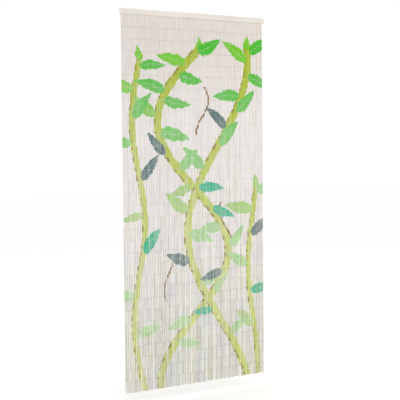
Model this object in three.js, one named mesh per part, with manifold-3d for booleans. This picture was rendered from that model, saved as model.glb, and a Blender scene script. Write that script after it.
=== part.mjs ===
// Door curtain of bamboo beads: ninety strings of short tubes hang side by side from a slim wooden rail.
// Millimetres, +Z up. The curtain faces -Y, X runs along the rail, and the origin is the middle of the
// rail's flat back, which lies against the wall over the doorway.
import Module from "manifold-3d";
import * as THREE from "three";
import { mergeVertices } from "three/addons/utils/BufferGeometryUtils.js";

// Whole curtain, over the rail's ends and from the rail's top to the longest string's foot
const CURTAIN_WIDTH = 900;
const CURTAIN_HEIGHT = 2000;

// Header rail: a batten with a flat back and eased edges. The strings hang a little off its middle.
const RAIL_HEIGHT = 28.5;
const RAIL_DEPTH = 12;
const RAIL_FRONT_RADIUS = 1.6;
const RAIL_BACK_RADIUS = 1;
const RAIL_END_EASING = 0.8;
const LEFT_OVERHANG = 4; // from the rail's left end to the side of the nearest string
const RIGHT_OVERHANG = 11;

// Strings of beads. The row of hanging loops under the rail is one narrow strip that joins their roots.
const STRING_COUNT = 90;
const BEAD_WIDTH = 8.2;
const ROOT_STRIP_HEIGHT = 3;
const ROOT_STRIP_DEPTH = 5;
const ROOT_INSET = 1; // how far a string's top end stands inside the strip
const RAIL_CLEARANCE = 0.3;
const STRING_STEPS = 8; // straight stretches down a string, four beads in each

// Partings: places where neighbouring strings hang apart. "after" is the string on the left of the gap,
// counted from 0, "opening" is how much wider the gap is at the hem, in mm, and "from" is the share of
// the drop at which it starts to open.
const PARTINGS = [
  { after: 2, opening: 1.0, from: 0.4 },
  { after: 6, opening: 1.6, from: 0.4 },
  { after: 9, opening: 1.6, from: 0.45 },
  { after: 13, opening: 0.8, from: 0.4 },
  { after: 16, opening: 2.4, from: 0.4 },
  { after: 20, opening: 1.4, from: 0.4 },
  { after: 25, opening: 1.8, from: 0.3 },
  { after: 29, opening: 1.0, from: 0.4 },
  { after: 33, opening: 2.4, from: 0.3 },
  { after: 37, opening: 2.2, from: 0.35 },
  { after: 40, opening: 3.0, from: 0.35 },
  { after: 42, opening: 1.6, from: 0.25 },
  { after: 47, opening: 2.6, from: 0.45 },
  { after: 50, opening: 1.6, from: 0.3 },
  { after: 55, opening: 3.0, from: 0.35 },
  { after: 58, opening: 1.0, from: 0.4 },
  { after: 61, opening: 2.0, from: 0.5 },
  { after: 64, opening: 1.6, from: 0.5 },
  { after: 69, opening: 0.8, from: 0.5 },
  { after: 73, opening: 0.9, from: 0.3 },
  { after: 77, opening: 0.8, from: 0.45 },
  { after: 80, opening: 1.4, from: 0.45 },
  { after: 84, opening: 0.9, from: 0.4 },
];
const PARTING_REACH = 2.6; // strings over which a parting's push fades

// Waves from string to string: "size" in mm at the hem, "turn" in radians a string, and where they start
const DEPTH_WAVES = [
  { size: 1.05, turn: 0.9, start: 0 },
  { size: 0.7, turn: 0.37, start: 1.3 },
];
const FOOT_WAVES = [
  { size: 1.6, turn: 1.9, start: 0 },
  { size: 1.2, turn: 0.73, start: 0.8 },
  { size: 0.9, turn: 3.1, start: 2.0 },
];

const railBottom = -RAIL_HEIGHT / 2;
const railMiddle = -RAIL_DEPTH / 2;
const stripTop = railBottom - RAIL_CLEARANCE;
const stripBottom = stripTop - ROOT_STRIP_HEIGHT;
const hem = RAIL_HEIGHT / 2 - CURTAIN_HEIGHT;
const stripLength = CURTAIN_WIDTH - LEFT_OVERHANG - RIGHT_OVERHANG;
const stripMiddle = (LEFT_OVERHANG - RIGHT_OVERHANG) / 2;
const stringPitch = (stripLength - BEAD_WIDTH) / (STRING_COUNT - 1);
const footSpread = FOOT_WAVES.reduce((sum, wave) => sum + wave.size, 0);

const wasm = await Module();
wasm.setup();

const railPaint = new THREE.MeshStandardMaterial({ color: 0xe6e0d7, roughness: 0.55, metalness: 0 });
const beadPaint = new THREE.MeshStandardMaterial({ color: 0xe0dcd5, roughness: 0.5, metalness: 0 });

function waveSum(waves, string) {
  return waves.reduce((sum, wave) => sum + wave.size * Math.sin(wave.turn * string + wave.start), 0);
}

// Sideways move of a string at a share of the drop: each parting pushes the strings beside it away.
function sidewaysDrift(string, share) {
  let drift = 0;
  for (const parting of PARTINGS) {
    const away = string - (parting.after + 0.5);
    const push = (parting.opening / 2) * Math.exp((0.5 - Math.abs(away)) / PARTING_REACH);
    drift += Math.sign(away) * push * THREE.MathUtils.smoothstep(share, parting.from, 1);
  }
  return drift;
}

// The line that one string hangs along, from inside the root strip down to its own foot.
class StringLine extends THREE.Curve {
  constructor(string) {
    super();
    this.string = string;
    this.home = stripMiddle + (string - (STRING_COUNT - 1) / 2) * stringPitch;
    this.top = stripBottom + ROOT_INSET;
    this.foot = hem + footSpread + waveSum(FOOT_WAVES, string);
  }

  getPoint(share, target = new THREE.Vector3()) {
    const x = this.home + sidewaysDrift(this.string, share);
    const y = railMiddle + share * share * waveSum(DEPTH_WAVES, this.string);
    const z = THREE.MathUtils.lerp(this.top, this.foot, share);
    return target.set(x, y, z);
  }
}

// A closed solid for joining, from a geometry whose shared corners are merged.
function toSolid(geometry) {
  const bare = geometry.clone();
  bare.deleteAttribute("normal");
  bare.deleteAttribute("uv");
  const merged = mergeVertices(bare);
  return new wasm.Manifold(
    new wasm.Mesh({
      numProp: 3,
      vertProperties: new Float32Array(merged.attributes.position.array),
      triVerts: new Uint32Array(merged.index.array),
    }),
  );
}

function toGeometry(solid) {
  const mesh = solid.getMesh();
  const geometry = new THREE.BufferGeometry();
  geometry.setAttribute("position", new THREE.BufferAttribute(mesh.vertProperties, 3));
  geometry.setIndex(new THREE.BufferAttribute(mesh.triVerts, 1));
  geometry.computeVertexNormals();
  return geometry;
}

// One string: a square section carried down the line that it hangs along.
function stringGeometry(string) {
  const half = BEAD_WIDTH / 2;
  const section = new THREE.Shape();
  section.moveTo(-half, -half);
  section.lineTo(half, -half);
  section.lineTo(half, half);
  section.lineTo(-half, half);
  section.closePath();
  return new THREE.ExtrudeGeometry(section, {
    steps: STRING_STEPS,
    bevelEnabled: false,
    extrudePath: new StringLine(string),
  });
}

// All the strings with the narrow strip that joins their roots.
function makeStrings() {
  const strip = new THREE.BoxGeometry(stripLength, ROOT_STRIP_DEPTH, ROOT_STRIP_HEIGHT);
  strip.translate(stripMiddle, railMiddle, (stripTop + stripBottom) / 2);
  let joined = toSolid(strip);
  for (let string = 0; string < STRING_COUNT; string += 1) {
    joined = joined.add(toSolid(stringGeometry(string)));
  }
  const strings = new THREE.Mesh(toGeometry(joined), beadPaint);
  strings.name = "strands";
  return strings;
}

// The rail's section, drawn with its flat back on the right: across is its depth and up is its height.
function railSection() {
  const front = -RAIL_DEPTH;
  const top = RAIL_HEIGHT / 2;
  const quarter = Math.PI / 2;
  const section = new THREE.Shape();
  section.moveTo(-RAIL_BACK_RADIUS, top);
  section.lineTo(front + RAIL_FRONT_RADIUS, top);
  section.absarc(front + RAIL_FRONT_RADIUS, top - RAIL_FRONT_RADIUS, RAIL_FRONT_RADIUS, quarter, 2 * quarter);
  section.lineTo(front, RAIL_FRONT_RADIUS - top);
  section.absarc(front + RAIL_FRONT_RADIUS, RAIL_FRONT_RADIUS - top, RAIL_FRONT_RADIUS, 2 * quarter, 3 * quarter);
  section.lineTo(-RAIL_BACK_RADIUS, -top);
  section.absarc(-RAIL_BACK_RADIUS, RAIL_BACK_RADIUS - top, RAIL_BACK_RADIUS, 3 * quarter, 4 * quarter);
  section.lineTo(0, top - RAIL_BACK_RADIUS);
  section.absarc(-RAIL_BACK_RADIUS, top - RAIL_BACK_RADIUS, RAIL_BACK_RADIUS, 0, quarter);
  return section;
}

// The rail: its section drawn out along X, with both ends eased.
function makeRail() {
  const length = CURTAIN_WIDTH - 2 * RAIL_END_EASING;
  const geometry = new THREE.ExtrudeGeometry(railSection(), {
    depth: length,
    curveSegments: 5,
    bevelEnabled: true,
    bevelThickness: RAIL_END_EASING,
    bevelSize: RAIL_END_EASING,
    bevelOffset: -RAIL_END_EASING,
    bevelSegments: 2,
  });
  geometry.translate(0, 0, -length / 2);
  const rail = new THREE.Mesh(geometry, railPaint);
  rail.name = "header_rail";
  rail.quaternion.setFromAxisAngle(new THREE.Vector3(1, 1, 1).normalize(), (2 * Math.PI) / 3);
  return rail;
}

const curtain = new THREE.Group();
curtain.add(makeRail(), makeStrings());

export default curtain;
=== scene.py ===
"""Dresses a bamboo bead door curtain: its beads, wire links, hanging loops, header rail and studio.

Ninety strings of short painted bamboo tubes hang side by side from a slim cream rail. Each tube is a
hollow bead of its own, and a pair of wire eyes joins it to the next one down. Lengths are in metres, +Z
is up, X runs along the rail and the curtain faces -Y.
"""

import math
import random
from collections import namedtuple

import bmesh
import bpy
import numpy as np
from bpy.props import FloatProperty, FloatVectorProperty, IntProperty, PointerProperty
from mathutils import Euler, Matrix, Vector


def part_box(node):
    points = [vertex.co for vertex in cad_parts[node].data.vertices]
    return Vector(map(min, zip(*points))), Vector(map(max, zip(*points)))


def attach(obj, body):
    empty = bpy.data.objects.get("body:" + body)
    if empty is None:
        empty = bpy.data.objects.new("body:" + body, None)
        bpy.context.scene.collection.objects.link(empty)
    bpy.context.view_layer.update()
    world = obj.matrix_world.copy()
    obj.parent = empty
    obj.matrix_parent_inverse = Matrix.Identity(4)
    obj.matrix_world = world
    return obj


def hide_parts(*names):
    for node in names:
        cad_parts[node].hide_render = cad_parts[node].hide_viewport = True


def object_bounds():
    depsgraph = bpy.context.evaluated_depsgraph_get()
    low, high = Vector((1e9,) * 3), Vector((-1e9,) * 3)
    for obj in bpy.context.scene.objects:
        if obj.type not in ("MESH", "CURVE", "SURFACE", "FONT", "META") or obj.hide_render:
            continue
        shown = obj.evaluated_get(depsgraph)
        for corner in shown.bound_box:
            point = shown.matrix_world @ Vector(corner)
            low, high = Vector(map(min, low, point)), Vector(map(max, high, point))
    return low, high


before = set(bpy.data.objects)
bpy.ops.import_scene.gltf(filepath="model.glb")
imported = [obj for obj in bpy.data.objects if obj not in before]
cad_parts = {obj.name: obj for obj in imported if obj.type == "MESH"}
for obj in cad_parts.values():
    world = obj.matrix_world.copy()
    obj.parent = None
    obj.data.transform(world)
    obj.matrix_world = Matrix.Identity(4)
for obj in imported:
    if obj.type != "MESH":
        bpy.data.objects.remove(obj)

bl_info = {
    "name": "Bamboo bead curtain",
    "version": (1, 0, 0),
    "blender": (4, 5, 0),
    "location": "View3D > Sidebar > Curtain",
    "description": "Builds the beads, links, loops and rail of a bamboo bead door curtain",
    "category": "Object",
}

FRAME_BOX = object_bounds()
RAIL_LOW, RAIL_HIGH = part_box("header_rail")

# Layout of the strings, as the frame has it
CURTAIN_HEIGHT = 2.0
LEFT_OVERHANG = 0.004  # from the rail's left end to the side of the nearest string
RIGHT_OVERHANG = 0.011
STRING_COUNT = 90
STRAND_WIDTH = 0.0082  # of the frame's plain strands
STRAND_TOP = RAIL_LOW.z - 0.0023  # a strand's upper end, inside the strip that joins the strands
ROW_COUNT = 32

Parting = namedtuple("Parting", "after opening start")
Wave = namedtuple("Wave", "size turn start")

# Where neighbouring strings hang apart: the string on the left of the gap, how much wider the gap is at
# the hem, and the share of the drop at which it starts to open
PARTINGS = tuple(
    Parting(*each)
    for each in (
        (2, 0.0010, 0.4), (6, 0.0016, 0.4), (9, 0.0016, 0.45), (13, 0.0008, 0.4), (16, 0.0024, 0.4),
        (20, 0.0014, 0.4), (25, 0.0018, 0.3), (29, 0.0010, 0.4), (33, 0.0024, 0.3), (37, 0.0022, 0.35),
        (40, 0.0030, 0.35), (42, 0.0016, 0.25), (47, 0.0026, 0.45), (50, 0.0016, 0.3), (55, 0.0030, 0.35),
        (58, 0.0010, 0.4), (61, 0.0020, 0.5), (64, 0.0016, 0.5), (69, 0.0008, 0.5), (73, 0.0009, 0.3),
        (77, 0.0008, 0.45), (80, 0.0014, 0.45), (84, 0.0009, 0.4),
    )
)
PARTING_REACH = 2.6  # strings over which a parting's push fades
DEPTH_WAVES = (Wave(0.00105, 0.9, 0.0), Wave(0.0007, 0.37, 1.3))
FOOT_WAVES = (Wave(0.0016, 1.9, 0.0), Wave(0.0012, 0.73, 0.8), Wave(0.0009, 3.1, 2.0))

# How the beads are grouped into pieces, and how each one's surface is laid flat for its maps
STRINGS_PER_PANEL = 10
STRINGS_PER_LINK_PIECE = 30
FOLDS = 3  # a string of beads is cut into this many columns of its panel's map
BEAD_SIDES = 8
TAPERS = (-0.035, 0.0, 0.03)  # how much a tube narrows from its middle to its top, as a share
WALL_CORNER, WALL_SPAN = (0.06, 0.2), (0.88, 0.76)  # where a tube's wall lies in its cell of the map
DISC_MIDDLE, DISC_SPAN, DISC_STEP = (0.27, 0.095), (0.4, 0.145), 0.46  # where its two ends lie
LEVEL = 1e-6  # difference under which two measures are the same

# How unevenly the beads hang and took their paint. A growth is its start, straight part and square part
# down the drop.
JOINT_SEED = 41
BEAD_SEED = 907
LINK_SEED = 5021
LENGTH_JITTER = 0.018
SIDE_JITTER, DEPTH_JITTER = 0.00015, 0.0004
STOUTNESS, WIDTH_JITTER = 0.012, 0.022
TONE_JITTER, TONE_GROWTH = 0.25, (0.2, 1.6, 0.5)
HOLD_JITTER = 0.2
# painted shade: the bare sides that grow string by string towards the hem also stand in for shade in the
# gaps between strings
STRING_BARE_AND_SHADE_GROWTH = (0.05, 0.0, 0.95)
BEAD_BARE, BEAD_BARE_GROWTH = 0.12, (0.3, 1.0, 0.0)
LINK_TURN = 0.5  # radians either way
WIRE_SIDES = 3
WIRE_IN_BEAD, WIRE_IN_RAIL = 0.002, 0.004  # how far the wires' stems reach in

# The painted design: climbing stems with broad leaves set left and right of them. Lengths are in metres,
# "across" runs from the middle of the curtain to the right and "drop" down from under the rail.
Stem = namedtuple("Stem", "across sway wave start width tip foot leaves slate sea")
Twig = namedtuple("Twig", "across sway wave start width tip foot")
Leaf = namedtuple("Leaf", "across drop turn length width bend shade")
STEMS = (
    Stem(-0.020, 0.220, 1.40, 2.24, 0.047, 0.14, 2.0, 17, (7, 13), (10,)),
    Stem(0.140, 0.200, 1.90, 0.91, 0.045, 0.12, 2.0, 15, (5, 11), (8, 13)),
    Stem(-0.355, 0.035, 1.05, 1.4, 0.034, 0.20, 2.0, 9, (4,), (6,)),
    Stem(0.365, 0.030, 1.15, 3.6, 0.034, 0.88, 2.0, 6, (2,), (4,)),
)
TWIGS = (
    Twig(0.040, 0.040, 0.36, 0.3, 0.009, 0.36, 0.62),
    Twig(0.190, 0.044, 0.42, 1.9, 0.009, 0.98, 1.22),
    Twig(-0.180, 0.030, 0.34, 3.1, 0.009, 1.30, 1.50),
)
LEAF_SEED = 77
FIRST_LEAF = 0.08  # drop above which no leaf reaches
LAST_LEAF = 1.80  # drop of the lowest leaf
LEAF_JITTER = 0.015
LEAF_RISE = (-55.0, 25.0)  # degrees, upwards below 0
LEAF_LENGTH = (0.155, 0.205)
LEAF_WIDTH = (0.32, 0.42)  # as a share of its length
LEAF_BEND = (-0.6, 0.6)
TIP_TURN = (-1.9, -1.2)
TIP_SIZE = (0.075, 0.04)
PAINT_WRAP = 0.4  # how much of a tube's roundness its colours follow

# Where the photograph was taken from
CAMERA_PLACE = Vector((-2.7753, -4.4884, -0.7015))
CAMERA_AZIMUTH = math.radians(31.965)
CAMERA_PITCH = math.radians(3.078)
CAMERA_ROLL = math.radians(-0.562)
CAMERA_LENS = 87.91


def shade(red, green, blue):
    """A paint colour read from 0 to 255, as the linear values that Blender mixes."""
    ratios = (red / 255, green / 255, blue / 255)
    return tuple(c / 12.92 if c <= 0.04045 else ((c + 0.055) / 1.055) ** 2.4 for c in ratios)


def length_setting(name, text, size):
    """A length that a user may change."""
    return FloatProperty(name=name, description=text, default=size, min=0.0, unit="LENGTH", precision=5)


def colour_setting(name, text, value):
    """A paint or bare colour that a user may change."""
    return FloatVectorProperty(
        name=name, description=text, default=value, size=3, min=0.0, max=1.0, subtype="COLOR"
    )


class CurtainSizes(bpy.types.PropertyGroup):
    """Sizes of the curtain's small parts."""

    bead_width: length_setting("Bead width", "Outside width of a bamboo tube", 0.0087)
    bead_wall: length_setting("Bead wall", "Thickness of a tube's wall", 0.0015)
    bore_depth: length_setting("Bore depth", "How far the hollow shows at each end", 0.006)
    rim_wear: length_setting("Rim wear", "Width of the rubbed edge round each cut end", 0.0005)
    link_gap: length_setting("Link gap", "Least space between two beads of a string", 0.0004)
    link_slack: length_setting("Link slack", "How much more space a loose link leaves", 0.0010)
    loop_gap: length_setting("Loop gap", "Space between the rail and the first bead", 0.0022)
    wire_width: length_setting("Wire width", "Thickness of the link wire", 0.0006)
    eye_radius: length_setting("Eye radius", "Radius of a wire eye, to the middle of the wire", 0.00105)
    rail_rounding: length_setting("Rail rounding", "Radius along the rail's front edges", 0.0016)
    rail_easing: length_setting("Rail easing", "Radius along the rail's back edges and ends", 0.0008)
    paint_slip: length_setting("Paint slip", "How far a string's design hangs out of line", 0.004)
    strings_per_panel: IntProperty(
        name="Strings in a panel",
        description="Neighbouring strings whose beads make one piece",
        default=STRINGS_PER_PANEL,
        min=1,
    )


class CurtainColours(bpy.types.PropertyGroup):
    """Paints, bamboo, wire and stage."""

    rail_cream: colour_setting("Rail cream", "Paint on the header rail", shade(225, 217, 208))
    ground_top: colour_setting("Ground, top", "Cream ground under the rail", shade(228, 221, 215))
    ground_mid: colour_setting("Ground, middle", "Off-white ground half way down", shade(235, 231, 229))
    ground_foot: colour_setting("Ground, foot", "Washed ground at the hem", shade(222, 223, 216))
    leaf_top: colour_setting("Leaf, top", "Bright green of the highest leaves", shade(56, 191, 6))
    leaf_foot: colour_setting("Leaf, foot", "Pale sage of the lowest leaves", shade(188, 220, 170))
    young_top: colour_setting("Young leaf, top", "Yellow-green of some high leaves", shade(116, 204, 16))
    young_foot: colour_setting("Young leaf, foot", "Pale lime of some low leaves", shade(192, 214, 158))
    stem_top: colour_setting("Stem, top", "Olive of the stems under the rail", shade(172, 190, 10))
    stem_foot: colour_setting("Stem, foot", "Pale lime of the stems at the hem", shade(206, 216, 132))
    stem_edge: colour_setting("Stem edge", "Brown along one side of a stem", shade(148, 122, 60))
    slate: colour_setting("Slate", "Dark blue-grey leaves", shade(76, 112, 116))
    sea: colour_setting("Sea green", "Turquoise leaves", shade(46, 188, 148))
    twig: colour_setting("Twig", "Thin brown tendrils", shade(152, 122, 88))
    bare_bamboo: colour_setting("Bare bamboo", "Tube where the paint is thin", shade(206, 184, 146))
    cut_bamboo: colour_setting("Cut bamboo", "Sawn ends and bores", shade(196, 166, 120))
    link_wire: colour_setting("Link wire", "Dull galvanised wire", shade(168, 166, 160))
    floor: colour_setting("Floor", "Pale studio floor", shade(254, 254, 254))


def growth(share, start, straight, square):
    """A value that grows down the drop."""
    return start + straight * share + square * share * share


def smooth_share(value, low, high):
    """0 below low, 1 above high and an eased slope between them."""
    share = min(max((value - low) / (high - low), 0.0), 1.0)
    return share * share * (3.0 - 2.0 * share)


def wave_sum(waves, string):
    """A small change from string to string, as the frame has it."""
    return sum(wave.size * math.sin(wave.turn * string + wave.start) for wave in waves)


def string_home(string):
    """Where a string hangs from the rail, to the right of the rail's middle."""
    first = RAIL_LOW.x + LEFT_OVERHANG + STRAND_WIDTH / 2
    last = RAIL_HIGH.x - RIGHT_OVERHANG - STRAND_WIDTH / 2
    return first + (last - first) * string / (STRING_COUNT - 1)


def string_foot(string):
    """The height at which a string ends."""
    spread = sum(wave.size for wave in FOOT_WAVES)
    return RAIL_HIGH.z - CURTAIN_HEIGHT + spread + wave_sum(FOOT_WAVES, string)


def string_place(string, height):
    """The point that a string passes through at a height."""
    share = max((STRAND_TOP - height) / (STRAND_TOP - string_foot(string)), 0.0)
    across = string_home(string)
    for parting in PARTINGS:
        away = string - (parting.after + 0.5)
        push = parting.opening / 2 * math.exp((0.5 - abs(away)) / PARTING_REACH)
        across += math.copysign(push, away) * smooth_share(share, parting.start, 1.0)
    middle = (RAIL_LOW.y + RAIL_HIGH.y) / 2
    return Vector((across, middle + share * share * wave_sum(DEPTH_WAVES, string), height))


def string_joints(string, sizes):
    """The points that a string's beads hang between, from under the rail to just past its foot."""
    chance = random.Random(JOINT_SEED + string)
    half_gap = sizes.link_gap / 2
    top = RAIL_LOW.z - sizes.loop_gap + half_gap
    foot = string_foot(string) - half_gap
    spans = [1.0 + chance.uniform(-LENGTH_JITTER, LENGTH_JITTER) for _ in range(ROW_COUNT)]
    scale = (top - foot) / sum(spans)
    joints = [string_place(string, top)]
    height = top
    for row, span in enumerate(spans, 1):
        height -= span * scale
        share = row / ROW_COUNT
        place = string_place(string, height)
        place.x += chance.uniform(-SIDE_JITTER, SIDE_JITTER) * math.sqrt(share)
        place.y += chance.uniform(-DEPTH_JITTER, DEPTH_JITTER) * share
        joints.append(place)
    return joints


def along(axis):
    """The turn that lays an upright shape along an axis."""
    return Vector((0.0, 0.0, 1.0)).rotation_difference(axis).to_matrix().to_4x4()


def new_object(name, data):
    """An object in the scene, at the origin."""
    made = bpy.data.objects.new(name, data)
    bpy.context.scene.collection.objects.link(made)
    return made


def new_piece(name, mesh, materials):
    """An object with its materials, riding on the curtain's one body."""
    for material in materials:
        mesh.materials.append(material)
    piece = new_object(name, mesh)
    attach(piece, "root")
    return piece


def finished_mesh(shape, name):
    """A bmesh written out as a mesh and freed."""
    mesh = bpy.data.meshes.new(name)
    shape.to_mesh(mesh)
    shape.free()
    return mesh


def copy_in(whole, shape, place):
    """Adds a copy of a mesh to a bmesh, at its place."""
    start = len(whole.verts)
    whole.from_mesh(shape)
    whole.verts.ensure_lookup_table()
    bmesh.ops.transform(whole, matrix=place, verts=whole.verts[start:])


def level(edge, axis=2):
    """Whether an edge's ends are equally high, or equally far along another axis."""
    return abs(edge.verts[0].co[axis] - edge.verts[1].co[axis]) < LEVEL


def map_values(mesh, name):
    """The flat array of a UV map's values, and the map."""
    layer = mesh.uv_layers[name].uv
    values = np.empty(2 * len(layer), np.float32)
    layer.foreach_get("vector", values)
    return layer, values


def place_in_cells(mesh, copies, columns, rows):
    """Moves each copy's part of the bake map into a cell of its own."""
    layer, values = map_values(mesh, "OFBake")
    parts = values.reshape(copies, -1, 2)
    number = np.arange(copies)
    corner = np.stack([number // rows, number % rows], axis=1)
    parts += corner[:, None, :]
    parts /= (columns, rows)
    layer.foreach_set("vector", values)


# Bead shape


def bead_shape(sizes, taper):
    """One hollow bamboo tube, upright about the origin, with its maps in its own unit square."""
    radius = sizes.bead_width / 2
    length = (STRAND_TOP - string_foot(0)) / ROW_COUNT - sizes.link_gap
    bead = bmesh.new()
    bmesh.ops.create_cone(
        bead,
        cap_ends=True,
        cap_tris=False,
        segments=BEAD_SIDES,
        radius1=radius * (1 + taper),
        radius2=radius * (1 - taper),
        depth=length,
    )
    ends = [face for face in bead.faces if len(face.verts) == BEAD_SIDES]
    bmesh.ops.inset_individual(bead, faces=ends, thickness=sizes.bead_wall, use_even_offset=True)
    bores = bmesh.ops.extrude_discrete_faces(bead, faces=ends)["faces"]
    for floor in bores:
        inward = -math.copysign(sizes.bore_depth, floor.calc_center_median().z)
        bmesh.ops.translate(bead, verts=floor.verts, vec=(0.0, 0.0, inward))
    walls = [face for face in bead.faces if wall_of(face, radius, length)]
    rims = [edge for face in walls for edge in face.edges if level(edge)]
    round_edges(bead, rims, sizes.rim_wear, 1)
    bmesh.ops.recalc_face_normals(bead, faces=bead.faces)
    lay_bead_flat(bead, sizes, radius, length)
    return finished_mesh(bead, "bead"), length


def wall_of(face, radius, length):
    """Whether a face is one of the long outer sides."""
    heights = [vert.co.z for vert in face.verts]
    spread = max(heights) - min(heights)
    return spread > 0.9 * length and face.calc_center_median().xy.length > 0.8 * radius


def lay_bead_flat(bead, sizes, radius, length):
    """Marks the sawn faces and rings, and gives the bead its wrap and bake maps."""
    wrap = bead.loops.layers.uv.new("wrap")
    bake = bead.loops.layers.uv.new("OFBake")
    bead.loops.layers.uv.new("paint")
    for edge in bead.edges:
        edge.smooth = not level(edge)
    for face in bead.faces:
        middle = face.calc_center_median()
        outer = max(vert.co.xy.length for vert in face.verts) > 0.85 * radius
        flat = abs(face.normal.z) > 0.99
        face.smooth = True
        face.material_index = int(not outer or flat)
        facing = math.atan2(middle.x, -middle.y)
        end = 0 if middle.z > 0 else 1
        for loop in face.loops:
            place = loop.vert.co
            turn = math.atan2(place.x, -place.y)
            if middle.xy.length > LEVEL:
                turn = facing + (turn - facing + math.pi) % (2 * math.pi) - math.pi
            around = turn / (2 * math.pi) + 0.5
            down = 0.5 - place.z / length
            loop[wrap].uv = (around, down)
            if face.material_index == 0:
                across = WALL_CORNER[0] + WALL_SPAN[0] * around
                loop[bake].uv = (across, WALL_CORNER[1] + WALL_SPAN[1] * down)
                continue
            sunk = min((length / 2 - abs(place.z)) / sizes.bore_depth, 1.0)
            reach = 0.5 * (place.xy.length / radius) * (1.0 - 0.45 * sunk)
            disc = Vector((math.sin(turn), -math.cos(turn))) * reach
            across = DISC_MIDDLE[0] + DISC_STEP * end + DISC_SPAN[0] * disc.x
            loop[bake].uv = (across, DISC_MIDDLE[1] + DISC_SPAN[1] * disc.y)


def bead_turns(string, sizes):
    """Each bead of a string: its place, its widening, its roll, its taper and how dark its paint took."""
    chance = random.Random(BEAD_SEED + string)
    joints = string_joints(string, sizes)
    stoutness = chance.uniform(-STOUTNESS, STOUTNESS)
    string_tone = chance.uniform(-TONE_JITTER, TONE_JITTER)
    string_hold = chance.uniform(0.0, 1.0)
    # painted shade: a string's bare sides also darken it like shade in the gap beside it
    string_bare_and_shade = chance.uniform(0.0, 1.0) ** 2
    beads = []
    for row, (top, bottom) in enumerate(zip(joints, joints[1:])):
        share = (row + 0.5) / ROW_COUNT
        slack = sizes.link_gap + sizes.link_slack * chance.uniform(0.0, 1.0) ** 2
        tone = string_tone + chance.uniform(-TONE_JITTER, TONE_JITTER)
        bare = growth(share, *STRING_BARE_AND_SHADE_GROWTH) * string_bare_and_shade
        bare += chance.uniform(0.0, BEAD_BARE) * growth(share, *BEAD_BARE_GROWTH)
        beads.append(
            {
                "middle": (top + bottom) / 2,
                "axis": (top - bottom).normalized(),
                "length": (top - bottom).length - slack,
                "width": 1.0 + stoutness + chance.uniform(-WIDTH_JITTER, WIDTH_JITTER),
                "roll": chance.uniform(-math.pi, math.pi),
                "taper": chance.randrange(len(TAPERS)),
                "bead_tone": 0.5 + growth(share, *TONE_GROWTH) * tone,
                "bare_side": min(bare, 1.0),
                "paint_hold": min(max(string_hold + chance.uniform(-HOLD_JITTER, HOLD_JITTER), 0.0), 1.0),
            }
        )
    return beads


def string_slip(string, sizes):
    """How far a string hangs out of line with the design painted across it."""
    return sizes.paint_slip * random.Random(LEAF_SEED + string).uniform(-1.0, 1.0)


def bead_panel(first, last, sizes, shapes, unit):
    """The beads of neighbouring strings as one mesh, with their maps laid out."""
    panel = bmesh.new()
    beads = [(string, bead) for string in range(first, last) for bead in bead_turns(string, sizes)]
    for _, bead in beads:
        stretch = Matrix.Diagonal((bead["width"], bead["width"], bead["length"] / unit, 1.0))
        place = Matrix.Translation(bead["middle"]) @ along(bead["axis"])
        copy_in(panel, shapes[bead["taper"]], place @ Matrix.Rotation(bead["roll"], 4, "Z") @ stretch)
    mesh = finished_mesh(panel, f"beads_{first:02d}")
    place_in_cells(mesh, len(beads), (last - first) * FOLDS, math.ceil(ROW_COUNT / FOLDS))
    paint_map(mesh, beads, sizes)
    per_bead = len(mesh.vertices) // len(beads)
    for name in ("bead_tone", "bare_side", "paint_hold"):
        marks = mesh.attributes.new(name, "FLOAT", "POINT")
        marks.data.foreach_set("value", np.repeat([bead[name] for _, bead in beads], per_bead))
    return mesh


def paint_map(mesh, beads, sizes):
    """Turns each bead's wrap to the front, and lays the painted design over the panel.

    A string takes its colours mostly from the design at its own middle, so shapes step from string to
    string, as on round tubes that were painted side by side."""
    layer, values = map_values(mesh, "wrap")
    rolls = np.array([bead["roll"] for _, bead in beads], np.float32) / (2 * math.pi)
    values.reshape(len(beads), -1, 2)[:, :, 0] += rolls[:, None]
    layer.foreach_set("vector", values)

    corners = np.empty(len(mesh.loops), np.int32)
    mesh.loops.foreach_get("vertex_index", corners)
    places = np.empty(3 * len(mesh.vertices), np.float32)
    mesh.vertices.foreach_get("co", places)
    places = places.reshape(-1, 3)[corners].reshape(len(beads), -1, 3)
    middles = np.array([bead["middle"].x for _, bead in beads], np.float32)
    homes = np.array([string_home(string) for string, _ in beads], np.float32)
    slips = np.array([string_slip(string, sizes) for string, _ in beads], np.float32)
    layer, values = map_values(mesh, "paint")
    paint = values.reshape(len(beads), -1, 2)
    paint[:, :, 0] = homes[:, None] + PAINT_WRAP * (places[:, :, 0] - middles[:, None])
    paint[:, :, 1] = RAIL_LOW.z + slips[:, None] - places[:, :, 2]
    layer.foreach_set("vector", values)


# Wire shapes

FACING_Y = Matrix.Rotation(math.pi / 2, 4, "X")
FACING_X = Matrix.Rotation(math.pi / 2, 4, "Y")


def wire_ring(shape, sizes, middle, plane, sweep=2 * math.pi, steps=8):
    """A ring, or part of one, of thin wire round a point, in the plane that faces an axis."""
    known = len(shape.verts)
    section = bmesh.ops.create_circle(
        shape, cap_ends=False, segments=WIRE_SIDES, radius=sizes.wire_width / 2
    )["verts"]
    edges = [edge for edge in shape.edges if edge.verts[0] in section]
    bmesh.ops.transform(
        shape, matrix=Matrix.Translation((sizes.eye_radius, 0.0, 0.0)) @ FACING_Y, verts=section
    )
    bmesh.ops.spin(
        shape,
        geom=section + edges,
        axis=(0.0, 0.0, 1.0),
        cent=(0.0, 0.0, 0.0),
        angle=sweep,
        steps=steps,
        use_merge=sweep >= 2 * math.pi,
    )
    open_ends = [edge for edge in shape.edges if edge.is_boundary]
    bmesh.ops.holes_fill(shape, edges=open_ends, sides=WIRE_SIDES)
    shape.verts.ensure_lookup_table()
    bmesh.ops.transform(shape, matrix=Matrix.Translation(middle) @ plane, verts=shape.verts[known:])


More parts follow.
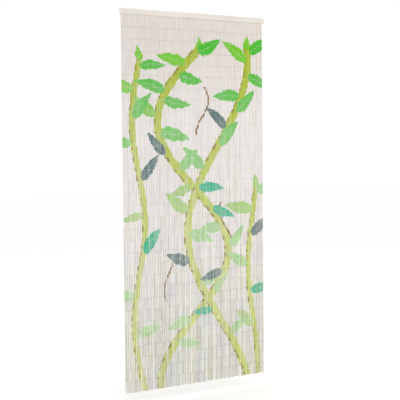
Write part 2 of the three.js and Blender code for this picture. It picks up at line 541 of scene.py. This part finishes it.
def wire_stem(shape, sizes, low, high, across=0.0):
    """A short straight wire between two heights."""
    verts = bmesh.ops.create_cone(
        shape,
        cap_ends=True,
        cap_tris=False,
        segments=WIRE_SIDES,
        radius1=sizes.wire_width / 2,
        radius2=sizes.wire_width / 2,
        depth=high - low,
    )["verts"]
    bmesh.ops.translate(shape, verts=verts, vec=(across, 0.0, (high + low) / 2))


def faces_in_grid(shape):
    """Gives each face a square of its own in the bake map."""
    bake = shape.loops.layers.uv.new("OFBake")
    across = math.ceil(math.sqrt(len(shape.faces)))
    for number, face in enumerate(shape.faces):
        corner = Vector((number % across, number // across))
        for turn, loop in enumerate(face.loops):
            inside = Vector((0.15 + 0.7 * (turn in (1, 2)), 0.15 + 0.7 * (turn in (2, 3))))
            loop[bake].uv = (corner + inside) / across


def finished_wire(shape, name):
    """A wire shape, smooth all over and laid out for baking, as a mesh."""
    bmesh.ops.recalc_face_normals(shape, faces=shape.faces)
    faces_in_grid(shape)
    for face in shape.faces:
        face.smooth = True
    return finished_mesh(shape, name)


def link_shape(sizes):
    """Two wire eyes hooked through each other, with their stems in the beads above and below."""
    link = bmesh.new()
    lift = sizes.eye_radius - sizes.wire_width / 2
    tip = lift + sizes.eye_radius
    end = sizes.link_gap / 2 + WIRE_IN_BEAD
    wire_ring(link, sizes, (0.0, 0.0, lift), FACING_Y)
    wire_ring(link, sizes, (0.0, 0.0, -lift), FACING_X)
    wire_stem(link, sizes, tip, end)
    wire_stem(link, sizes, -end, -tip)
    return finished_wire(link, "link")


def loop_shape(sizes):
    """A staple in the rail's underside with the first bead's eye hooked through it."""
    loop = bmesh.new()
    eye = sizes.eye_radius
    arch = 0.5 * sizes.wire_width
    staple_low = -sizes.loop_gap / 2 - 0.2 * sizes.wire_width
    wire_ring(loop, sizes, (0.0, 0.0, staple_low + eye), FACING_Y, math.pi, 5)
    wire_ring(loop, sizes, (0.0, 0.0, staple_low + 2 * arch - eye), FACING_X)
    for across in (-eye, eye):
        wire_stem(loop, sizes, staple_low + eye, WIRE_IN_RAIL, across)
    wire_stem(loop, sizes, -sizes.loop_gap - WIRE_IN_BEAD, staple_low + 2 * arch - 2 * eye)
    return finished_wire(loop, "loop")


def wire_piece(name, shape, places):
    """Many copies of one wire shape as one mesh."""
    wires = bmesh.new()
    for place in places:
        copy_in(wires, shape, place)
    mesh = finished_mesh(wires, name)
    across = math.ceil(math.sqrt(len(places)))
    place_in_cells(mesh, len(places), across, math.ceil(len(places) / across))
    return mesh


# Rail shape


def rail_shape(sizes):
    """The header rail: a batten with a flat back, a rounded front and eased ends."""
    size = RAIL_HIGH - RAIL_LOW
    rail = bmesh.new()
    bmesh.ops.create_cube(rail, size=1.0)
    bmesh.ops.scale(rail, vec=size, verts=rail.verts)
    bmesh.ops.translate(rail, vec=(RAIL_LOW + RAIL_HIGH) / 2, verts=rail.verts)
    for depth, rounding, steps in (
        (RAIL_LOW.y, sizes.rail_rounding, 6),
        (RAIL_HIGH.y, sizes.rail_easing, 2),
    ):
        lengthwise = [edge for edge in rail.edges if level(edge, 1) and level(edge)]
        edges = [edge for edge in lengthwise if abs(edge.verts[0].co.y - depth) < LEVEL]
        round_edges(rail, edges, rounding, steps)
    round_edges(rail, [edge for edge in rail.edges if level(edge, 0)], sizes.rail_easing, 2)
    for face in rail.faces:
        face.smooth = True
    mesh = finished_mesh(rail, "header_rail_wood")
    mesh.set_sharp_from_angle(angle=math.radians(40))
    return mesh


def round_edges(shape, edges, radius, steps):
    """Rounds some edges off, or chamfers them in one step."""
    bmesh.ops.bevel(
        shape,
        geom=edges,
        offset=radius,
        segments=steps,
        profile=0.5,
        affect="EDGES",
        material=-1,
        clamp_overlap=True,
    )


# Painted design


def stem_middle(stem, drop):
    """How far across the curtain a stem is at a drop."""
    return stem.across + stem.sway * math.sin(2 * math.pi * drop / stem.wave + stem.start)


def painted_leaves():
    """The leaves of every stem, set left and right of it in turn, and one at its tip."""
    chance = random.Random(LEAF_SEED)
    leaves = []
    for stem in STEMS:
        room = LAST_LEAF - stem.tip
        for number in range(stem.leaves):
            share = (number + 0.5) / stem.leaves
            drop = stem.tip + room * growth(share, 0.0, 0.6, 0.4)
            drop += chance.uniform(-LEAF_JITTER, LEAF_JITTER)
            right = number % 2 == 0
            rise = math.radians(chance.uniform(*LEAF_RISE))
            length = chance.uniform(*LEAF_LENGTH) * (1.0 - 0.25 * share)
            steepest = math.asin(max((FIRST_LEAF - drop) / length, -1.0))
            turn = max(rise, steepest) if right else math.pi - max(rise, steepest)
            width = length * chance.uniform(*LEAF_WIDTH)
            foot = stem_middle(stem, drop) + math.copysign(0.3 * stem.width, math.cos(turn))
            family = "young" if number % 4 == 1 else "leaf"
            family = "slate" if number in stem.slate else family
            family = "sea" if number in stem.sea else family
            leaves.append(Leaf(foot, drop, turn, length, width, chance.uniform(*LEAF_BEND), family))
        tip = stem_middle(stem, stem.tip)
        leaves.append(Leaf(tip, stem.tip + 0.03, chance.uniform(*TIP_TURN), *TIP_SIZE, 0.3, "young"))
    return leaves


def reaches(low, high, across, reach):
    """Whether something painted round a place lies between two places across the curtain."""
    return across - reach < high and across + reach > low


# Node helpers


def add_node(tree, kind, inputs=None, **settings):
    """A node with its settings, and its inputs set or linked by name or number."""
    node = tree.nodes.new(kind)
    for name, value in settings.items():
        setattr(node, name, value)
    for socket, value in (inputs or {}).items():
        if isinstance(value, bpy.types.NodeSocket):
            tree.links.new(value, node.inputs[socket])
        else:
            node.inputs[socket].default_value = value
    return node


def maths(tree, operation, *values, clamp=False):
    """The output of one Math node."""
    node = add_node(tree, "ShaderNodeMath", dict(enumerate(values)), operation=operation, use_clamp=clamp)
    return node.outputs[0]


def times(tree, *values):
    """The product of two or more numbers."""
    product = values[0]
    for value in values[1:]:
        product = maths(tree, "MULTIPLY", product, value)
    return product


def scaled(tree, value, factor, start):
    """A value times a factor, on top of a start."""
    return maths(tree, "MULTIPLY_ADD", value, factor, start)


def parts_of(tree, vector):
    """The three numbers of a vector."""
    return add_node(tree, "ShaderNodeSeparateXYZ", {0: vector}).outputs


def own_place(tree):
    """Where a point is, in metres, in the frame."""
    return add_node(tree, "ShaderNodeTexCoord").outputs["Object"]


def noise(tree, vector, scale, detail):
    """A soft noise from about 0.3 to 0.7."""
    given = {"Vector": vector, "Scale": scale, "Detail": detail}
    return add_node(tree, "ShaderNodeTexNoise", given).outputs[0]


def mixed(tree, factor, first, second):
    """Two colours mixed. A colour that doesn't vary is given as its three values."""
    given = {0: factor}
    for socket, colour in ((6, first), (7, second)):
        given[socket] = colour if isinstance(colour, bpy.types.NodeSocket) else (*colour, 1.0)
    return add_node(tree, "ShaderNodeMix", given, data_type="RGBA", clamp_factor=True).outputs[2]


def eased(tree, value, low, high, start=0.0, end=1.0):
    """A value eased from one range to another."""
    node = add_node(
        tree,
        "ShaderNodeMapRange",
        {"Value": value, "From Min": low, "From Max": high, "To Min": start, "To Max": end},
        interpolation_type="SMOOTHSTEP",
    )
    return node.outputs["Result"]


def new_group(name, vectors, numbers, results):
    """An empty node group, what it is given and where its results go. Its results are numbers."""
    group = bpy.data.node_groups.new(name, "ShaderNodeTree")
    for titles, way, kind in (
        (vectors, "INPUT", "NodeSocketVector"),
        (numbers, "INPUT", "NodeSocketFloat"),
        (results, "OUTPUT", "NodeSocketFloat"),
    ):
        for title in titles:
            group.interface.new_socket(title, in_out=way, socket_type=kind)
    source = group.nodes.new("NodeGroupInput")
    result = group.nodes.new("NodeGroupOutput")
    return group, source.outputs, result.inputs


def use_group(tree, group, inputs):
    """A node that uses a group with its own values."""
    return add_node(tree, "ShaderNodeGroup", inputs, node_tree=group).outputs


def once(make):
    """A node group is made the first time it is asked for."""
    made = []

    def group():
        if not made:
            made.append(make())
        return made[0]

    return group


@once
def grain_group():
    """Fine streaks that run along the bamboo or the wood."""
    group, given, put = new_group("Fibre grain", ("Vector", "Stretch"), (), ("Streak", "Height"))
    place = add_node(
        group, "ShaderNodeVectorMath", {0: given["Vector"], 1: given["Stretch"]}, operation="MULTIPLY"
    ).outputs[0]
    streak = maths(group, "ADD", noise(group, place, 1.0, 3.0), noise(group, place, 0.23, 2.0))
    group.links.new(maths(group, "SUBTRACT", streak, 1.0), put["Streak"])
    group.links.new(streak, put["Height"])
    return group


@once
def leaf_group():
    """How far a point lies from a leaf's midrib, as a share of the leaf's half width there."""
    vectors = ("Paint", "Base", "Turn", "Size")
    group, given, put = new_group("Painted leaf", vectors, ("Bend",), ("Reach",))
    laid = {"Vector": "Paint", "Location": "Base", "Rotation": "Turn", "Scale": "Size"}
    laid = {socket: given[title] for socket, title in laid.items()}
    own = add_node(group, "ShaderNodeMapping", laid, vector_type="TEXTURE").outputs[0]
    along_rib, across_rib, _ = parts_of(group, own)
    left = maths(group, "SUBTRACT", 1.0, along_rib)
    half = times(group, maths(group, "SQRT", along_rib), times(group, left, 1.3))
    safe = maths(group, "MAXIMUM", half, 0.00001)
    curve = times(group, along_rib, left, given["Bend"])
    off_rib = maths(group, "ABSOLUTE", maths(group, "ADD", across_rib, curve))
    group.links.new(maths(group, "DIVIDE", off_rib, safe), put["Reach"])
    return group


@once
def stem_group():
    """Where a painted stem or tendril lies, and how far across it a point is."""
    numbers = ("Across", "Sway", "Wave", "Start", "Half width", "Tip", "Foot")
    group, given, put = new_group("Painted stem", ("Paint",), numbers, ("Mask", "Side"))
    across, drop, _ = parts_of(group, given["Paint"])
    turn = scaled(group, drop, given["Wave"], given["Start"])
    middle = scaled(group, maths(group, "SINE", turn), given["Sway"], given["Across"])
    slope = times(group, maths(group, "COSINE", turn), given["Sway"], given["Wave"])
    upright = maths(group, "INVERSE_SQRT", scaled(group, slope, slope, 1.0))
    off_middle = times(group, maths(group, "SUBTRACT", across, middle), upright)
    side = maths(group, "DIVIDE", off_middle, given["Half width"])
    inside = maths(group, "LESS_THAN", maths(group, "ABSOLUTE", side), 1.0)
    below_tip = maths(group, "GREATER_THAN", drop, given["Tip"])
    above_foot = maths(group, "LESS_THAN", drop, given["Foot"])
    group.links.new(times(group, inside, below_tip, above_foot), put["Mask"])
    group.links.new(side, put["Side"])
    return group


@once
def coverage_group():
    """How well paint covers a bead: full at its front and back, thin on its sides and at its ends. Thin
    side paint also stands in for painted shade between the strings.
    """
    group, given, put = new_group("Paint coverage", ("Wrap",), ("Grain", "Bare side and shade"), ("Cover",))
    around, down, _ = parts_of(group, given["Wrap"])
    facing = maths(group, "ABSOLUTE", maths(group, "COSINE", times(group, around, 2 * math.pi)))
    rough = scaled(group, given["Grain"], 0.7, facing)
    full = scaled(group, given["Bare side and shade"], 0.85, 0.03)
    side_cover = eased(group, rough, times(group, given["Bare side and shade"], 0.34), full)
    from_middle = maths(group, "ABSOLUTE", maths(group, "SUBTRACT", down, 0.5))
    from_end = maths(group, "SUBTRACT", 0.5, from_middle)
    worn = scaled(group, given["Grain"], 0.008, from_end)
    end_cover = eased(group, worn, -0.004, 0.009)
    group.links.new(times(group, side_cover, end_cover), put["Cover"])
    return group


# Materials


def new_material(name):
    """A material with its Principled shader, and the tree they stand in."""
    material = bpy.data.materials.new(name)
    material.use_nodes = True
    tree = material.node_tree
    return material, tree, tree.nodes["Principled BSDF"]


def finish_shader(tree, shader, colour, rough, height=None, strength=0.0, distance=0.0):
    """Gives a shader its colour and roughness, and its relief if it has one."""
    tree.links.new(colour, shader.inputs["Base Color"])
    tree.links.new(rough, shader.inputs["Roughness"])
    if height is not None:
        relief = {"Height": height, "Strength": strength, "Distance": distance}
        tree.links.new(add_node(tree, "ShaderNodeBump", relief).outputs[0], shader.inputs["Normal"])


def nearest_leaf(tree, paint, leaves, ragged):
    """The least reach over some leaves, roughened like a brush's edge."""
    least = None
    for leaf in leaves:
        reach = use_group(
            tree,
            leaf_group(),
            {
                "Paint": paint,
                "Base": (leaf.across, leaf.drop, 0.0),
                "Turn": (0.0, 0.0, leaf.turn),
                "Size": (leaf.length, leaf.width, 1.0),
                "Bend": leaf.bend,
            },
        )["Reach"]
        least = reach if least is None else maths(tree, "MINIMUM", least, reach)
    return maths(tree, "ADD", least, ragged)


def painted_bamboo(name, low, high, colours):
    """Painted bamboo with the design that lies between two places across the curtain."""
    material, tree, shader = new_material(name)
    paint = add_node(tree, "ShaderNodeUVMap", uv_map="paint").outputs[0]
    wrap = add_node(tree, "ShaderNodeUVMap", uv_map="wrap").outputs[0]
    tone = bead_mark(tree, "bead_tone")
    hold = bead_mark(tree, "paint_hold")
    place = own_place(tree)
    drop = parts_of(tree, paint)[1]
    grain = use_group(tree, grain_group(), {"Vector": place, "Stretch": (900.0, 900.0, 22.0)})
    ragged = times(tree, grain["Streak"], 0.35)

    fade = eased(tree, drop, -0.1, 1.4)
    ground = mixed(tree, eased(tree, drop, 0.05, 0.6), colours.ground_top, colours.ground_mid)
    ground = mixed(tree, eased(tree, drop, 1.05, 1.85), ground, colours.ground_foot)
    colour = ground = washed(tree, ground, place, drop)
    for stem in STEMS:
        if reaches(low, high, stem.across, stem.sway + stem.width):
            found = stem_mask(tree, paint, stem)
            body = mixed(tree, fade, colours.stem_top, colours.stem_foot)
            body = mixed(tree, times(tree, hold, 0.2), body, colours.stem_foot)
            edge = maths(tree, "ADD", found["Side"], grain["Streak"])
            patch = add_node(
                tree,
                "ShaderNodeTexNoise",
                {"W": scaled(tree, drop, 6.0, 10 * stem.across), "Detail": 0.0},
                noise_dimensions="1D",
            ).outputs[0]
            rim = times(tree, eased(tree, edge, -0.8, -0.3, 0.9, 0.0), eased(tree, patch, 0.42, 0.62))
            body = mixed(tree, rim, body, colours.stem_edge)
            colour = mixed(tree, found["Mask"], colour, body)
    for twig in TWIGS:
        if reaches(low, high, twig.across, twig.sway + twig.width):
            colour = mixed(tree, stem_mask(tree, paint, twig)["Mask"], colour, colours.twig)
    near = [leaf for leaf in painted_leaves() if reaches(low, high, leaf.across, leaf.length)]
    families = {
        "young": mixed(tree, fade, colours.young_top, colours.young_foot),
        "leaf": mixed(tree, fade, colours.leaf_top, colours.leaf_foot),
        "slate": mixed(tree, times(tree, fade, 0.2), colours.slate, colours.ground_foot),
        "sea": mixed(tree, times(tree, fade, 0.1), colours.sea, colours.ground_foot),
    }
    for family, body in families.items():
        leaves = [leaf for leaf in near if leaf.shade == family]
        if leaves:
            reach = nearest_leaf(tree, paint, leaves, ragged)
            covered = maths(tree, "LESS_THAN", reach, 1.0)
            rib = eased(tree, reach, 0.02, 0.1, 0.3, 0.0)
            body = mixed(tree, rib, body, colours.ground_mid)
            colour = mixed(tree, covered, colour, body)
    thin = times(tree, hold, hold, eased(tree, drop, 0.0, 1.9, 0.05, 0.45))
    colour = mixed(tree, thin, colour, ground)

    # painted light: every colour grows a little lighter towards the right, as if more light fell on that
    # side
    painted_light_to_right = scaled(tree, parts_of(tree, place)[0], 0.05, 0.92)
    tint = scaled(tree, tone, 0.16, painted_light_to_right)
    streaked = scaled(tree, grain["Streak"], 0.09, tint)
    toned = add_node(tree, "ShaderNodeVectorMath", {0: colour, 3: streaked}, operation="SCALE").outputs[0]
    # painted shade: thin side paint shows tan bamboo, which also stands in for shade between the strings
    cover = use_group(
        tree,
        coverage_group(),
        {"Wrap": wrap, "Grain": grain["Streak"], "Bare side and shade": bead_mark(tree, "bare_side")},
    )["Cover"]
    bare = mixed(tree, grain["Height"], shade(150, 124, 86), colours.bare_bamboo)
    shader.inputs["Specular IOR Level"].default_value = 0.14
    rough = scaled(tree, grain["Streak"], 0.25, 0.6)
    finish_shader(tree, shader, mixed(tree, cover, bare, toned), rough, grain["Height"], 0.25, 0.0004)
    return material


def bead_mark(tree, name):
    """A number that is the same all over a bead."""
    return add_node(tree, "ShaderNodeAttribute", attribute_name=name).outputs["Fac"]


def washed(tree, ground, place, drop):
    """The ground with faint lilac and straw clouds, which are stronger lower down."""
    soft = add_node(tree, "ShaderNodeMapping", {"Vector": place, "Scale": (16.0, 16.0, 5.0)}).outputs[0]
    cloud = noise(tree, soft, 1.0, 2.0)
    depth = eased(tree, drop, 0.5, 1.85, 0.2, 1.0)
    straw = times(tree, eased(tree, cloud, 0.5, 0.7, 0.0, 0.6), depth)
    lilac = times(tree, eased(tree, cloud, 0.3, 0.5, 0.6, 0.0), depth)
    warm = mixed(tree, straw, ground, shade(226, 222, 202))
    return mixed(tree, lilac, warm, shade(220, 219, 224))


def stem_mask(tree, paint, stem):
    """A stem or twig of the design."""
    return use_group(
        tree,
        stem_group(),
        {
            "Paint": paint,
            "Across": stem.across,
            "Sway": stem.sway,
            "Wave": 2 * math.pi / stem.wave,
            "Start": stem.start,
            "Half width": stem.width / 2,
            "Tip": stem.tip,
            "Foot": stem.foot,
        },
    )


def sawn_bamboo(colours):
    """The bare cut ends and bores."""
    material, tree, shader = new_material("sawn bamboo")
    stretch = (1400.0, 1400.0, 300.0)
    grain = use_group(tree, grain_group(), {"Vector": own_place(tree), "Stretch": stretch})
    tone = bead_mark(tree, "bead_tone")
    spread = maths(tree, "ADD", times(tree, grain["Height"], 0.6), times(tree, tone, 0.3))
    colour = mixed(tree, spread, shade(150, 118, 78), colours.cut_bamboo)
    finish_shader(tree, shader, colour, scaled(tree, grain["Streak"], 0.2, 0.75))
    return material


def galvanised_wire(colours):
    """Dull wire with a mottled zinc skin."""
    material, tree, shader = new_material("galvanised wire")
    mottle = noise(tree, own_place(tree), 420.0, 2.0)
    darker = tuple(0.5 * value for value in colours.link_wire)
    colour = mixed(tree, eased(tree, mottle, 0.3, 0.7), darker, colours.link_wire)
    finish_shader(tree, shader, colour, eased(tree, mottle, 0.3, 0.7, 0.55, 0.35))
    shader.inputs["Metallic"].default_value = 0.85
    return material


def cream_wood(colours):
    """Cream paint over a fine-grained batten, a little rubbed where the grain stands up."""
    material, tree, shader = new_material("cream painted wood")
    place = own_place(tree)
    grain = use_group(tree, grain_group(), {"Vector": place, "Stretch": (9.0, 420.0, 420.0)})
    figure = eased(tree, noise(tree, place, 7.0, 3.0), 0.35, 0.65, 0.0, 0.35)
    rubbed = tuple(0.86 * value for value in colours.rail_cream)
    spread = scaled(tree, grain["Streak"], 1.1, figure)
    colour = mixed(tree, spread, colours.rail_cream, rubbed)
    # darker tan along the top and bottom: partly rubbed bare wood, partly painted shade on the rounded
    # edges
    from_middle = maths(tree, "ABSOLUTE", parts_of(tree, place)[2])
    uneven = scaled(tree, grain["Streak"], 0.002, from_middle)
    edge = eased(tree, uneven, RAIL_HIGH.z - 0.0022, RAIL_HIGH.z + 0.0004, 0.0, 0.55)
    colour = mixed(tree, edge, colour, shade(196, 182, 162))
    rough = scaled(tree, grain["Streak"], 0.3, 0.48)
    finish_shader(tree, shader, colour, rough, grain["Height"], 0.2, 0.0005)
    return material


def studio_floor(colours):
    """Pale matt floor with a faint unevenness."""
    material, tree, shader = new_material("studio floor")
    cloud = noise(tree, own_place(tree), 1.3, 2.0)
    darker = tuple(0.985 * value for value in colours.floor)
    tree.links.new(mixed(tree, cloud, darker, colours.floor), shader.inputs["Base Color"])
    shader.inputs["Roughness"].default_value = 0.9
    shader.inputs["Specular IOR Level"].default_value = 0.1
    return material


# Operators


class CURTAIN_OT_rail(bpy.types.Operator):
    """Builds the cream header rail"""

    bl_idname = "curtain.rail"
    bl_label = "Header rail"

    def execute(self, context):
        sizes = context.scene.curtain_sizes
        rail = new_piece("rail", rail_shape(sizes), [cream_wood(context.scene.curtain_colours)])
        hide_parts("header_rail")
        return {"FINISHED"}


class CURTAIN_OT_bead_panels(bpy.types.Operator):
    """Hangs the painted bamboo beads, with the beads of neighbouring strings in one piece"""

    bl_idname = "curtain.bead_panels"
    bl_label = "Bead panels"

    def execute(self, context):
        sizes = context.scene.curtain_sizes
        colours = context.scene.curtain_colours
        shapes, units = zip(*(bead_shape(sizes, taper) for taper in TAPERS))
        sawn = sawn_bamboo(colours)
        for number, first in enumerate(range(0, STRING_COUNT, sizes.strings_per_panel), 1):
            last = min(first + sizes.strings_per_panel, STRING_COUNT)
            mesh = bead_panel(first, last, sizes, shapes, units[0])
            low = string_home(first) - sizes.bead_width
            high = string_home(last - 1) + sizes.bead_width
            painted = painted_bamboo(f"painted bamboo {number}", low, high, colours)
            panel = new_piece(f"bead_panel_{number}", mesh, [painted, sawn])
            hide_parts("strands")
        for shape in shapes:
            bpy.data.meshes.remove(shape)
        return {"FINISHED"}


class CURTAIN_OT_wire_links(bpy.types.Operator):
    """Hooks a pair of wire eyes between each bead and the next one down"""

    bl_idname = "curtain.wire_links"
    bl_label = "Wire links"

    def execute(self, context):
        sizes = context.scene.curtain_sizes
        wire = galvanised_wire(context.scene.curtain_colours)
        shape = link_shape(sizes)
        for number, first in enumerate(range(0, STRING_COUNT, STRINGS_PER_LINK_PIECE), 1):
            places = []
            for string in range(first, min(first + STRINGS_PER_LINK_PIECE, STRING_COUNT)):
                chance = random.Random(LINK_SEED + string)
                joints = string_joints(string, sizes)
                for above, joint, below in zip(joints, joints[1:], joints[2:]):
                    turn = Matrix.Rotation(chance.uniform(-LINK_TURN, LINK_TURN), 4, "Z")
                    axis = (above - below).normalized()
                    places.append(Matrix.Translation(joint) @ along(axis) @ turn)
            links = new_piece(f"wire_links_{number}", wire_piece("links", shape, places), [wire])
            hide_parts("strands")
        bpy.data.meshes.remove(shape)
        return {"FINISHED"}


class CURTAIN_OT_hanging_loops(bpy.types.Operator):
    """Hangs each string from a staple in the rail's underside"""

    bl_idname = "curtain.hanging_loops"
    bl_label = "Hanging loops"

    def execute(self, context):
        sizes = context.scene.curtain_sizes
        wire = bpy.data.materials.get("galvanised wire") or galvanised_wire(context.scene.curtain_colours)
        shape = loop_shape(sizes)
        tops = [string_place(string, RAIL_LOW.z) for string in range(STRING_COUNT)]
        places = [Matrix.Translation(top) for top in tops]
        loops = new_piece("hanging_loops", wire_piece("loops", shape, places), [wire])
        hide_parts("strands")
        bpy.data.meshes.remove(shape)
        return {"FINISHED"}


class CURTAIN_OT_stage(bpy.types.Operator):
    """Sets the pale floor, the soft lights and the camera"""

    bl_idname = "curtain.stage"
    bl_label = "Stage"

    def execute(self, context):
        add_floor(context.scene.curtain_colours)
        add_lights()
        add_world()
        add_camera()
        context.scene.view_settings.view_transform = "Standard"
        return {"FINISHED"}


FLOOR_DROP = 0.06  # from the hem to the floor
FLOOR_SIDE = 40.0
Lamp = namedtuple("Lamp", "name place aim side power")
LAMPS = (
    Lamp("key", (-2.6, -3.4, 1.6), (0.0, 0.0, -0.9), 2.6, 9.0),
    Lamp("fill", (3.2, -3.0, 0.6), (0.0, 0.0, -1.0), 3.0, 11.0),
    Lamp("back", (0.6, 3.8, 1.4), (0.0, 0.0, -1.0), 3.0, 9.0),
    Lamp("overhead", (0.0, -0.6, 3.2), (0.0, -0.2, -2.0), 4.0, 24.0),
)


def add_floor(colours):
    """A wide pale floor a little below the hem."""
    floor = bmesh.new()
    bmesh.ops.create_grid(floor, x_segments=4, y_segments=4, size=FLOOR_SIDE / 2)
    bmesh.ops.translate(floor, verts=floor.verts, vec=(0.0, 0.0, FRAME_BOX[0].z - FLOOR_DROP))
    mesh = finished_mesh(floor, "floor")
    mesh.materials.append(studio_floor(colours))
    stage = new_object("floor", mesh)


def add_lights():
    """Large soft lamps round the curtain."""
    for lamp in LAMPS:
        light = bpy.data.lights.new(lamp.name, "AREA")
        light.shape = "SQUARE"
        light.size = lamp.side
        light.energy = lamp.power
        holder = new_object(lamp.name, light)
        holder.location = lamp.place
        aim = Vector(lamp.aim) - Vector(lamp.place)
        holder.rotation_euler = aim.to_track_quat("-Z", "Y").to_euler()


def add_world():
    """An even white surround."""
    world = bpy.data.worlds.new("white studio")
    world.use_nodes = True
    background = world.node_tree.nodes["Background"]
    background.inputs["Color"].default_value = (1.0, 1.0, 1.0, 1.0)
    background.inputs["Strength"].default_value = 1.0
    bpy.context.scene.world = world


def add_camera():
    """The camera at the photograph's place and angle."""
    data = bpy.data.cameras.new("camera")
    data.lens = CAMERA_LENS
    data.sensor_width = 36.0
    data.clip_end = 100.0
    camera = new_object("camera", data)
    camera.location = CAMERA_PLACE
    look = Euler((math.pi / 2 - CAMERA_PITCH, 0.0, -CAMERA_AZIMUTH), "XYZ").to_matrix()
    camera.rotation_euler = (look @ Matrix.Rotation(CAMERA_ROLL, 3, "Z")).to_euler()
    bpy.context.scene.camera = camera


class CURTAIN_PT_sidebar(bpy.types.Panel):
    """Lists the curtain's sizes, colours and pieces"""

    bl_idname = "CURTAIN_PT_sidebar"
    bl_label = "Bamboo bead curtain"
    bl_space_type = "VIEW_3D"
    bl_region_type = "UI"
    bl_category = "Curtain"

    def draw(self, context):
        for group in (context.scene.curtain_sizes, context.scene.curtain_colours):
            for name in group.bl_rna.properties.keys():
                if name not in ("rna_type", "name"):
                    self.layout.prop(group, name)
        for operator in OPERATORS:
            self.layout.operator(operator.bl_idname)


OPERATORS = (
    CURTAIN_OT_stage,
    CURTAIN_OT_rail,
    CURTAIN_OT_bead_panels,
    CURTAIN_OT_wire_links,
    CURTAIN_OT_hanging_loops,
)
CLASSES = (CurtainSizes, CurtainColours, *OPERATORS, CURTAIN_PT_sidebar)


def register():
    """Adds the settings, operators and panel."""
    for each in CLASSES:
        bpy.utils.register_class(each)
    bpy.types.Scene.curtain_sizes = PointerProperty(type=CurtainSizes)
    bpy.types.Scene.curtain_colours = PointerProperty(type=CurtainColours)


def unregister():
    """Removes what register added."""
    del bpy.types.Scene.curtain_colours
    del bpy.types.Scene.curtain_sizes
    for each in reversed(CLASSES):
        bpy.utils.unregister_class(each)


def main():
    """Builds the whole scene."""
    register()
    bpy.ops.curtain.stage()
    bpy.ops.curtain.rail()
    bpy.ops.curtain.bead_panels()
    bpy.ops.curtain.wire_links()
    bpy.ops.curtain.hanging_loops()


if __name__ == "__main__":
    main()
